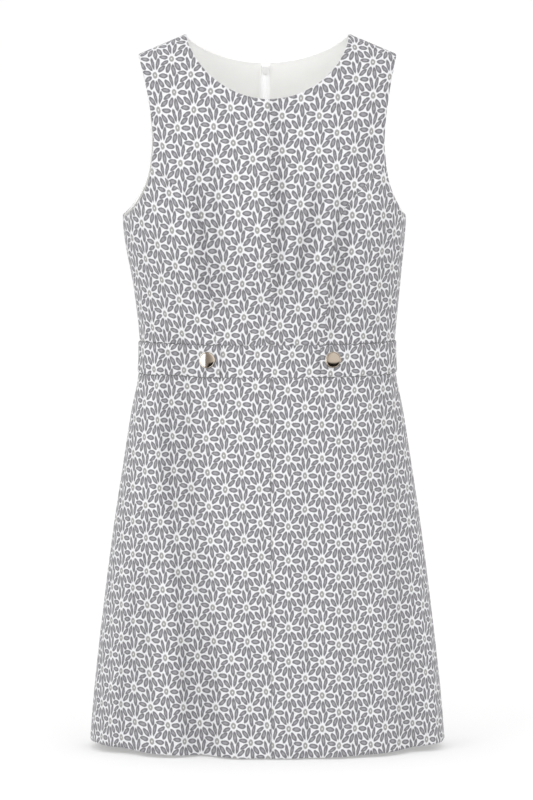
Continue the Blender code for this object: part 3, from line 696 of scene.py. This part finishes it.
def makeWeave():
    # crossing threads: their height, and a shade that slubs make uneven
    inputs = {"Map": (0, 0, 0), "Threads": 90.0, "Rib": 0.5}
    group, given, made = newGroup("Woven threads", inputs, ["Height", "Shade"])
    parts = partsOf(group, given["Map"])
    rate = calc(group, "MULTIPLY", given["Threads"], 2 * math.pi)
    warp = calc(group, "SINE", calc(group, "MULTIPLY", parts["X"], rate))
    weft = calc(group, "SINE", calc(group, "MULTIPLY", parts["Y"], rate))
    crossing = calc(group, "MULTIPLY", warp, weft)
    ribbed = calc(group, "MULTIPLY", weft, given["Rib"])
    height = calc(group, "MULTIPLY_ADD", calc(group, "ADD", crossing, ribbed), threads["height"], 0.5)
    along = noiseAt(group, calcVector(group, "MULTIPLY", given["Map"], threads["slubsAlong"]), 1.0)
    over = noiseAt(group, calcVector(group, "MULTIPLY", given["Map"], threads["slubsOver"]), 1.0)
    slubs = calc(group, "MULTIPLY", calc(group, "ADD", along, over), 0.5)
    put(made["Height"], calc(group, "MULTIPLY_ADD", slubs, threads["slubHeight"], height))
    put(made["Shade"], calc(group, "MULTIPLY_ADD", crossing, threads["shade"], slubs))
    return group


petalGroup = makePetal()
printGroup = makeFlowerPrint(petalGroup)
weaveGroup = makeWeave()


def newMaterial(name, roughness, metallic=0.0):
    material = bpy.data.materials.new(name)
    material.use_nodes = True
    shader = material.node_tree.nodes["Principled BSDF"]
    put(shader.inputs["Roughness"], roughness)
    put(shader.inputs["Metallic"], metallic)
    return material, material.node_tree, shader


def clothMapOf(tree):
    node = tree.nodes.new("ShaderNodeUVMap")
    node.uv_map = "clothMap"
    return node.outputs[0]


def bumpInto(tree, shader, height, distance, strength):
    node = tree.nodes.new("ShaderNodeBump")
    put(node.inputs["Distance"], distance)
    put(node.inputs["Strength"], strength)
    put(node.inputs["Height"], height)
    put(shader.inputs["Normal"], node.outputs[0])


def newCloth(name, rate, rib, roughness, spread, sheen):
    material, tree, shader = newMaterial(name, roughness)
    cloth = clothMapOf(tree)
    weave = useGroup(tree, weaveGroup, Map=cloth, Threads=rate, Rib=rib)
    rough = softStep(tree, weave["Shade"], 0.2, 0.8, roughness - spread, roughness + spread)
    put(shader.inputs["Roughness"], rough)
    put(shader.inputs["Sheen Weight"], sheen)
    return material, tree, shader, cloth, weave


printLook = {
    "ground": (0.750, 0.750, 0.766, 1),
    "groundShadow": (0.660, 0.660, 0.678, 1),
    "petalEdge": (0.174, 0.172, 0.185, 1),
    "petal": (0.297, 0.294, 0.310, 1),
    "ring": (0.230, 0.230, 0.212, 1),
    "ringStrength": 0.85,
    "heart": (0.018, 0.048),  # how deep inside a petal its edge turns into its middle, in repeats
    "mottle": 24.0,
    "groundRange": (0.38, 0.56),  # the shades between which the ground turns light
    "wear": 0.05,  # how far the mottle moves the line between a petal's edge and its middle
    "petalDepth": 0.5,  # how deep petals lie, where 1 is the height of the bump
    "roughness": 0.82,
    "spread": 0.06,  # how much the roughness varies
    "specular": 0.3,
    "rate": 92.0,  # threads to a repeat
    "rib": 0.6,
    "bump": 0.00020,
    "bumpStrength": 0.45,
    "sheen": 0.06,
}


def makePrintCloth():
    look = {key: printLook[key] for key in ("rate", "rib", "roughness", "spread", "sheen")}
    material, tree, shader, cloth, weave = newCloth("Flower jacquard", **look)
    pattern = useGroup(tree, printGroup, Map=cloth)
    mottle = noiseAt(tree, cloth, printLook["mottle"])
    shade = calc(tree, "MULTIPLY_ADD", mottle, 0.6, calc(tree, "MULTIPLY", weave["Shade"], 0.4))
    lit = softStep(tree, shade, *printLook["groundRange"])
    ground = mixColours(tree, lit, printLook["groundShadow"], printLook["ground"])
    strays = calc(tree, "SUBTRACT", mottle, 0.5)
    worn = calc(tree, "MULTIPLY_ADD", strays, printLook["wear"], pattern["Depth"])
    heart = softStep(tree, worn, *printLook["heart"])
    petal = mixColours(tree, heart, printLook["petalEdge"], printLook["petal"])
    ring = calc(tree, "MULTIPLY", pattern["Ring"], printLook["ringStrength"])
    ground = mixColours(tree, ring, ground, printLook["ring"])
    put(shader.inputs["Base Color"], mixColours(tree, pattern["Petals"], ground, petal))
    put(shader.inputs["Specular IOR Level"], printLook["specular"])
    raised = calc(tree, "MULTIPLY_ADD", pattern["Petals"], -printLook["petalDepth"], weave["Height"])
    bumpInto(tree, shader, raised, printLook["bump"], printLook["bumpStrength"])
    return material


def glow(shader, strength):
    # painted light: a white emission, though the part is no lamp; it brightens the shaded inside of the
    # lining, zip tape and coil, and keeps the floor evenly bright
    put(shader.inputs["Emission Color"], (1, 1, 1, 1))
    put(shader.inputs["Emission Strength"], strength)


def makePlainCloth(name, light, dark, rate, roughness, sheen, bump=0.00006, paintedGlow=0.0):
    material, tree, shader, cloth, weave = newCloth(name, rate, 0.3, roughness, 0.05, sheen)
    clouds = noiseAt(tree, cloth, 1.3, detail=3.0)
    shade = calc(tree, "MULTIPLY_ADD", clouds, 0.5, calc(tree, "MULTIPLY", weave["Shade"], 0.5))
    put(shader.inputs["Base Color"], mixColours(tree, softStep(tree, shade, 0.3, 0.7), dark, light))
    bumpInto(tree, shader, weave["Height"], bump, 0.3)
    glow(shader, paintedGlow)
    return material


def makeHardFinish(name, light, dark, roughness, metallic, coat=0.0, bump=0.00002, paintedGlow=0.0):
    material, tree, shader = newMaterial(name, roughness, metallic)
    where = tree.nodes.new("ShaderNodeTexCoord").outputs["Object"]
    clouds = noiseAt(tree, where, 900.0, detail=3.0)
    put(shader.inputs["Base Color"], mixColours(tree, clouds, dark, light))
    rough = softStep(tree, clouds, 0.3, 0.7, roughness * 0.8, roughness * 1.25)
    put(shader.inputs["Roughness"], rough)
    put(shader.inputs["Coat Weight"], coat)
    bumpInto(tree, shader, clouds, bump, 0.3)
    glow(shader, paintedGlow)
    return material


printCloth = makePrintCloth()
reverseCloth = makePlainCloth(
    "Cloth reverse", (0.90, 0.90, 0.89, 1), (0.85, 0.85, 0.84, 1),
    rate=92.0, roughness=0.8, sheen=0.05,
)
# the lining's small emission is painted light that brightens it where the front of the dress shades the
# inside of the back
liningCloth = makePlainCloth(
    "Warm white lining", (0.970, 0.970, 0.955, 1), (0.945, 0.945, 0.925, 1),
    rate=150.0, roughness=0.62, sheen=0.10, paintedGlow=0.035,
)
# the tape's emission is painted light that brightens it in the shade inside the back neck
tapeCloth = makePlainCloth(
    "White zip tape", (0.98, 0.98, 0.985, 1), (0.96, 0.96, 0.965, 1),
    rate=60.0, roughness=0.7, sheen=0.05, bump=0.00010, paintedGlow=0.16,
)
# the coil's emission is painted light that brightens it in the shade inside the back neck
coilPlastic = makeHardFinish(
    "White zip coil", (0.98, 0.98, 0.985, 1), (0.95, 0.95, 0.955, 1),
    roughness=0.45, metallic=0.0, paintedGlow=0.16,
)
zipEnamel = makeHardFinish(
    "White enamelled metal", (0.95, 0.95, 0.945, 1), (0.91, 0.91, 0.905, 1),
    roughness=0.35, metallic=0.0, coat=0.2,
)
buttonGold = makeHardFinish(
    "Polished pale gold", (0.900, 0.872, 0.815, 1), (0.875, 0.840, 0.775, 1),
    roughness=0.11, metallic=1.0, bump=0.000006,
)
print("materials made")


faced = [printCloth, reverseCloth]  # the outer face and the reverse


def bodiceFrontEdges():
    waist, notch = cut["bandTop"], cut["notchRow"]
    seamHeights, seamX = np.array(princessSeam).T
    seam = evenly(places(turnAt(seamX, seamHeights), seamHeights), steps["princess"])
    armhole = armholeLine(back=False)
    upper = evenly(armhole[: notch + 1], steps["upperCentre"] + steps["frontNeck"])[::-1]
    neckTop = -cut["frontNeckDrop"]
    centreLine = joined(
        upright(0, waist, cut["frontNotch"], steps["princess"]),
        upright(0, cut["frontNotch"], neckTop, steps["upperCentre"]),
        neckline(cut["frontNeckDrop"], cut["frontNeckRoundness"], False, steps["frontNeck"]),
    )
    centre = {
        "bottom": level(waist, 0, seam[0, 0]),
        "top": shoulderSeam(back=False),
        "inner": centreLine,
        "outer": joined(seam, upper),
    }
    sidePanel = {
        "bottom": level(waist, seam[0, 0], 1),
        "top": evenly(armhole[notch:], steps["plain"]),
        "inner": seam,
        "outer": upright(1, waist, cut["underarm"], steps["plain"]),
    }
    return centre, sidePanel


def bodiceBackEdges():
    waist = cut["bandTop"]
    armhole = evenly(armholeLine(back=True), steps["upperBack"] + steps["backNeck"])[::-1]
    centreLine = joined(
        upright(2, waist, cut["backNotch"], steps["sideSeam"]),
        upright(2, cut["backNotch"], -cut["backNeckDrop"], steps["upperBack"]),
        neckline(cut["backNeckDrop"], cut["backNeckRoundness"], True, steps["backNeck"]),
    )
    return {
        "bottom": level(waist, 2, 1),
        "top": shoulderSeam(back=True),
        "inner": centreLine,
        "outer": joined(upright(1, waist, cut["underarm"], steps["sideSeam"]), armhole),
    }


def liningEdges(backEdges):
    # the back's own edges, drawn in beside the zip and just below the neck edge
    inner = backEdges["inner"]
    share = np.linspace(0, 1, len(inner))
    z = inner[:, 1] - cut["liningBelowNeck"] * share
    x = np.maximum(bodyPoint(inner[:, 0], inner[:, 1])[:, 0], cut["liningStart"])
    start = places(turnAt(x, z, back=True), z)
    bottom = level(cut["bandTop"], start[0, 0], 1)
    return {**backEdges, "inner": start, "bottom": bottom}


def strip(turnFrom, turnTo, low, high):
    # low is one height or a height for every step
    bottom = level(low, turnFrom, turnTo)
    return {
        "bottom": bottom,
        "top": level(high, turnFrom, turnTo),
        "inner": upright(turnFrom, bottom[0, 1], high, steps["plain"]),
        "outer": upright(turnTo, bottom[-1, 1], high, steps["plain"]),
    }


def skirtEdges(turnFrom, turnTo):
    turns = np.linspace(turnFrom, turnTo, steps["plain"] + 1)
    hem = cut["hem"] - cut["hemDip"] * np.cos(turns * math.pi)
    return strip(turnFrom, turnTo, hem, cut["bandBottom"])


def tapeEdges():
    top = -cut["backNeckDrop"] - cut["tapeBelowNeck"]
    z = np.linspace(cut["zipEnd"], top, steps["princess"] + 1)
    inner = places(turnAt(cut["zipGapHalf"], z, back=True), z)
    outer = places(turnAt(cut["tapeOuter"], z, back=True), z)
    return {
        "bottom": level(z[0], inner[0, 0], outer[0, 0]),
        "top": level(z[-1], inner[-1, 0], outer[-1, 0]),
        "inner": inner,
        "outer": outer,
    }


# how the print lies on each piece: how far it is moved across and up, in repeats,
# and how its columns lean and its rows tilt
grains = {
    "bodiceCentreFrontLeft": (0.227, 0.905, -0.010, 0.010),
    "bodiceCentreFrontRight": (0.714, 0.106, 0.050, -0.080),
    "bodiceSideFrontLeft": (0.733, 0.166, 0.0, 0.040),
    "bodiceSideFrontRight": (0.555, 0.046, 0.060, 0.140),
    "bodiceBackLeft": (0.30, 0.10, 0.030, 0.0),
    "bodiceBackRight": (0.20, 0.35, -0.030, 0.0),
    "waistbandFront": (0.866, 0.767, 0.0, 0.0),
    "waistbandBackLeft": (0.40, 0.0, 0.0, 0.0),
    "waistbandBackRight": (0.10, 0.0, 0.0, 0.0),
    "waistTabLeft": (0.25, 0.84, 0.0, 0.0),
    "waistTabRight": (0.0, 0.27, 0.0, 0.0),
    "skirtFrontLeft": (0.991, 0.780, 0.0, 0.020),
    "skirtFrontRight": (0.970, 0.681, 0.030, -0.020),
    "skirtBackLeft": (0.15, 0.20, 0.0, 0.0),
    "skirtBackRight": (0.35, 0.30, 0.0, 0.0),
}

# width and length each piece was cut to, and the cloth in it, in metres and square metres
flats = {
    "bodiceCentreFront": (0.165, 0.400, 0.0396),
    "bodiceSideFront": (0.150, 0.260, 0.0274),
    "bodiceBack": (0.235, 0.380, 0.0671),
    "liningBack": (0.225, 0.380, 0.0626),
    "waistbandFront": (0.430, 0.042, 0.0171),
    "waistbandBack": (0.210, 0.042, 0.0082),
    "waistTab": (0.155, 0.042, 0.0060),
    "skirtFront": (0.290, 0.460, 0.1160),
    "skirtBack": (0.290, 0.460, 0.1160),
}


# height of the puckers along a piece's edges
seamPuckers = {
    "waistbandFront": {"bottom": 0.0002, "top": 0.0002},
    "bodiceCentreFront": {"outer": 0.00035, "bottom": 0.0004},
    "bodiceSideFront": {"inner": 0.00035, "bottom": 0.0004},
    "bodiceBack": {"bottom": 0.0003, "inner": 0.00025},
    "skirtFront": {"top": 0.0004, "inner": 0.0003},
    "skirtBack": {"top": 0.0003},
}


def snake(camel):
    return "".join("_" + letter.lower() if letter.isupper() else letter for letter in camel)


def sewn(kind, sideName, edges, material=faced, slot="print_cloth", **how):
    name = kind + sideName.capitalize()
    grain, puckers = grains.get(name, plainGrain), seamPuckers.get(kind, {})
    piece = layCloth(name, edges, material, grain=grain, puckers=puckers, **how)
    width, length, area = flats[kind]
    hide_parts(snake(name))


centreFront, sideFront = bodiceFrontEdges()
bodiceBack = bodiceBackEdges()
liningBack = liningEdges(bodiceBack)
low, high = cut["bandBottom"], cut["bandTop"]

liningLay = {
    "back": True,
    "inward": weaving["wall"] + 0.0007,  # under the back's inner face
    "wall": 0.0006,
    "drop": 0.0003,
}

halfBelt = {
    "overBand": 0.0003,  # from the waistband's outer face
    "edgeGap": 0.0004,  # how far its long edges lie inside the waistband's
    "lift": 0.0020,  # how far its free end stands off
}
tabTurn = float(turnAt(cut["tabEnd"], (low + high) / 2))
tabEdges = strip(tabTurn, 1, low + halfBelt["edgeGap"], high - halfBelt["edgeGap"])
tabLay = {"inward": -weaving["wall"] - halfBelt["overBand"], "lift": halfBelt["lift"]}

sewn("waistbandFront", "", strip(-1, 1, low, high), limits=(-1, 1))
for sideName, side in sides.items():
    sewn("bodiceCentreFront", sideName, centreFront, side=side)
    sewn("bodiceSideFront", sideName, sideFront, side=side)
    sewn("bodiceBack", sideName, bodiceBack, side=side, back=True, rim=1)
    sewn("liningBack", sideName, liningBack, [liningCloth], "lining_cloth", side=side, **liningLay)
    sewn("waistbandBack", sideName, strip(2, 1, low, high), side=side, back=True)
    sewn("waistTab", sideName, tabEdges, side=side, **tabLay)
    sewn("skirtFront", sideName, skirtEdges(0, 1), side=side)
    sewn("skirtBack", sideName, skirtEdges(2, 1), side=side, back=True)
print("cloth laid")


button = {
    "fromCentre": 0.0757,
    "height": -0.3940,
    "radius": 0.0101,
    "rimRadius": 0.0009,
    "grooveRadius": 0.0088,
    "crown": 0.0032,
    "grooveDepth": 0.0004,
    "shankRadius": 0.0030,
    "shankHeight": 0.0008,
    "overTab": 0.0003,  # from the half-belt's outer face to the shank
    "turns": 64,
    "crownSteps": 15,
    "rimSteps": 17,
    "mergeDistance": 0.000005,
}


def clothFrame(point, out):
    # X across the cloth, Y straight out of it and Z up along it
    across = out.cross(Vector((0, 0, 1))).normalized()
    matrix = Matrix((across, out, across.cross(out))).transposed().to_4x4()
    matrix.translation = point
    return matrix


def buttonProfile():
    # radius and height, from the top of the crown over the groove and the rim to the shank
    rim, radius, base = button["rimRadius"], button["radius"], button["shankHeight"]
    grooveHeight = base + 2 * rim - button["grooveDepth"]
    crownHeight = button["crown"] - 2 * rim + button["grooveDepth"]
    profile = []
    for angle in np.linspace(0, math.pi / 2, button["crownSteps"]):
        height = grooveHeight + crownHeight * math.cos(angle)
        profile.append((button["grooveRadius"] * math.sin(angle), height))
    for angle in np.radians(np.linspace(170, -90, button["rimSteps"])):
        profile.append((radius - rim + rim * math.cos(angle), base + rim + rim * math.sin(angle)))
    profile += [(button["shankRadius"], base), (button["shankRadius"], 0.0), (0.0, 0.0)]
    return profile


def makeButton(sideName, side):
    bm = bmesh.new()
    verts = [bm.verts.new((radius, 0, height)) for radius, height in buttonProfile()]
    edges = [bm.edges.new(pair) for pair in zip(verts, verts[1:])]
    bmesh.ops.spin(
        bm, geom=verts + edges, axis=(0, 0, 1), cent=(0, 0, 0), angle=2 * math.pi,
        steps=button["turns"], use_merge=True,
    )
    bmesh.ops.remove_doubles(bm, verts=bm.verts[:], dist=button["mergeDistance"])
    bmesh.ops.recalc_face_normals(bm, faces=bm.faces[:])
    z = np.array([button["height"]])
    turn = side * turnAt(button["fromCentre"], z)
    point, out = Vector(clothPoint(turn, z)[0]), Vector(formNormal(bodyPoint(turn, z))[0])
    seat = point + out * (weaving["wall"] + halfBelt["overBand"] + button["overTab"])
    place = clothFrame(seat, out) @ Matrix.Rotation(-math.pi / 2, 4, "X")
    bmesh.ops.transform(bm, matrix=place, verts=bm.verts[:])
    piece = pieceFrom(bm, "button" + sideName.capitalize(), buttonGold)
    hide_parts("button_" + sideName)


zipParts = {
    "toothPitch": 0.00125,
    "toothHalf": 0.0018,
    "toothDepth": 0.0010,
    "toothHeight": 0.00112,
    "toothRound": 0.0002,
    "stagger": 0.0004,
    "tapeInward": 0.0016,
    "tapeWall": 0.0005,
    "coilInward": 0.0027,
    "coilTop": -0.0528,
    "coilEnd": -0.488,
}


def makeCoil():
    bm = bmesh.new()
    count = round((zipParts["coilTop"] - zipParts["coilEnd"]) / zipParts["toothPitch"])
    heights = np.linspace(zipParts["coilTop"], zipParts["coilEnd"], count)
    turn = np.full(count, 2.0)
    points, outs = clothPoint(turn, heights), formNormal(bodyPoint(turn, heights))
    size = (2 * zipParts["toothHalf"], zipParts["toothDepth"], zipParts["toothHeight"], 1)
    for number, (point, out) in enumerate(zip(points, outs)):
        made = bmesh.ops.create_cube(bm, size=1.0)["verts"]
        place = clothFrame(Vector(point) - Vector(out) * zipParts["coilInward"], Vector(out))
        place.translation.x = zipParts["stagger"] * (-1) ** number
        bmesh.ops.transform(bm, matrix=place @ Matrix.Diagonal(size), verts=made)
    bmesh.ops.bevel(
        bm, geom=bm.edges[:], offset=zipParts["toothRound"], segments=1, affect="EDGES",
        profile=0.5, material=-1,
    )
    return pieceFrom(bm, "zipCoil", coilPlastic)


tapeLay = {"back": True, "inward": zipParts["tapeInward"], "wall": zipParts["tapeWall"], "drop": 0.0}
for sideName, side in sides.items():
    makeButton(sideName, side)
    tape = layCloth("zipTape" + sideName.capitalize(), tapeEdges(), [tapeCloth], side=side, **tapeLay)
    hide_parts("zip_tape_" + sideName)
coil = makeCoil()
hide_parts("zip_chain")
for node in ("zip_slider", "zip_pull_tab"):
    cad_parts[node].material_slots[0].material = zipEnamel
print("buttons and zip made")


studio = {
    "floorBelowHem": 0.0057,
    "floorSize": 120.0,
    "floorLight": (0.64, 0.64, 0.64, 1),
    "floorDark": (0.6368, 0.6368, 0.6368, 1),
    "floorGlow": 0.272,  # the floor is lit from below too, so that it's nearly free of shadows
    "backdrop": 0.99,
    "fromLeft": (0.905, 0.905, 0.905, 1),
    "fromRight": (0.915, 0.915, 0.92, 1),
    "leftX": (0.10, -0.10),
    "overhead": 1.32,  # how much brighter the room is above than at the level of the dress
    "overheadZ": (0.0, 0.6),
    "lampAim": (0, 0, -0.4),
    # place, size and power of the lamps
    "lamps": {
        "Key": ((-2.0, -2.8, 0.9), 1.8, 24.0),
        "Front fill": ((1.3, -4.8, 0.9), 2.0, 33.0),
    },
    # what polished metal mirrors: a white panel on the left, warm walls and a dark corner low down
    "panel": (1.55, 1.53, 1.48, 1),
    "nearWall": (0.24, 0.20, 0.17, 1),
    "farWall": (0.66, 0.58, 0.51, 1),
    "darkCorner": (0.012, 0.010, 0.009, 1),
    # where each fades in, by the X or the Z of a direction, as leftX and overheadZ
    "panelX": (-0.53, -0.59),
    "farWallX": (-0.56, 0.50),
    "cornerX": (-0.45, -0.29),
    "cornerZ": (-0.15, -0.33),
}


def makeFloor():
    bm = bmesh.new()
    bmesh.ops.create_grid(bm, x_segments=1, y_segments=1, size=studio["floorSize"] / 2)
    bmesh.ops.translate(bm, verts=bm.verts[:], vec=(0, 0, cut["hem"] - studio["floorBelowHem"]))
    material, tree, shader = newMaterial("Pale floor", 0.9)
    where = tree.nodes.new("ShaderNodeTexCoord").outputs["Object"]
    clouds = noiseAt(tree, where, 3.0)
    put(shader.inputs["Base Color"], mixColours(tree, clouds, studio["floorLight"], studio["floorDark"]))
    glow(shader, studio["floorGlow"])
    floor = objectFrom(bm, "floor", material)
    floor.visible_glossy = False


def makeWorld():
    # plain white for the camera, and a soft room that is brighter on the left for light and gloss
    world = bpy.data.worlds.new("Studio")
    bpy.context.scene.world = world
    world.use_nodes = True
    tree = world.node_tree
    tree.nodes.clear()
    x, _, z = partsOf(tree, tree.nodes.new("ShaderNodeTexCoord").outputs["Generated"])
    toLeft = softStep(tree, x, *studio["leftX"])
    soft = mixColours(tree, toLeft, studio["fromRight"], studio["fromLeft"])
    above = softStep(tree, z, *studio["overheadZ"], 1.0, studio["overhead"])
    soft = calcVector(tree, "SCALE", soft, above)
    farther = softStep(tree, x, *studio["farWallX"])
    walls = mixColours(tree, farther, studio["nearWall"], studio["farWall"])
    low, middle = softStep(tree, z, *studio["cornerZ"]), softStep(tree, x, *studio["cornerX"])
    walls = mixColours(tree, calc(tree, "MULTIPLY", low, middle), walls, studio["darkCorner"])
    panel = softStep(tree, x, *studio["panelX"])
    mirrored = mixColours(tree, panel, walls, studio["panel"])
    lightPath = tree.nodes.new("ShaderNodeLightPath").outputs
    room = tree.nodes.new("ShaderNodeBackground")
    put(room.inputs["Color"], mixColours(tree, lightPath["Is Glossy Ray"], soft, mirrored))
    backdrop = tree.nodes.new("ShaderNodeBackground")
    put(backdrop.inputs["Color"], (1, 1, 1, 1))
    put(backdrop.inputs["Strength"], studio["backdrop"])
    choice = tree.nodes.new("ShaderNodeMixShader")
    put(choice.inputs[0], lightPath["Is Camera Ray"])
    put(choice.inputs[1], room.outputs[0])
    put(choice.inputs[2], backdrop.outputs[0])
    put(tree.nodes.new("ShaderNodeOutputWorld").inputs[0], choice.outputs[0])


def makeLamps():
    for name, (place, size, power) in studio["lamps"].items():
        light = bpy.data.lights.new(name, "AREA")
        light.size = size
        light.energy = power
        lamp = newObject(name, light)
        lamp.location = place
        aim = Vector(studio["lampAim"]) - lamp.location
        lamp.rotation_euler = aim.to_track_quat("-Z", "Y").to_euler()
        lamp.visible_glossy = False


view = {
    "aim": (-0.001, 0.0, -0.450),
    "distance": 10.0,
    "fromLeft": 2.2,  # degrees
    "eyeHeight": 0.367,
    "lens": 367.4,
}


def makeCamera():
    data = bpy.data.cameras.new("Camera")
    data.sensor_fit = "AUTO"
    data.sensor_width = 36
    data.lens = view["lens"]
    data.clip_end = 100
    camera = newObject("Camera", data)
    angle = math.radians(view["fromLeft"])
    aim = Vector(view["aim"])
    x, y = aim.x - view["distance"] * math.sin(angle), -view["distance"] * math.cos(angle)
    camera.location = (x, y, view["eyeHeight"])
    camera.rotation_euler = (aim - camera.location).to_track_quat("-Z", "Y").to_euler()
    bpy.context.scene.camera = camera


makeFloor()
makeWorld()
makeLamps()
makeCamera()
bpy.context.scene.view_settings.view_transform = "Standard"
print("studio set")
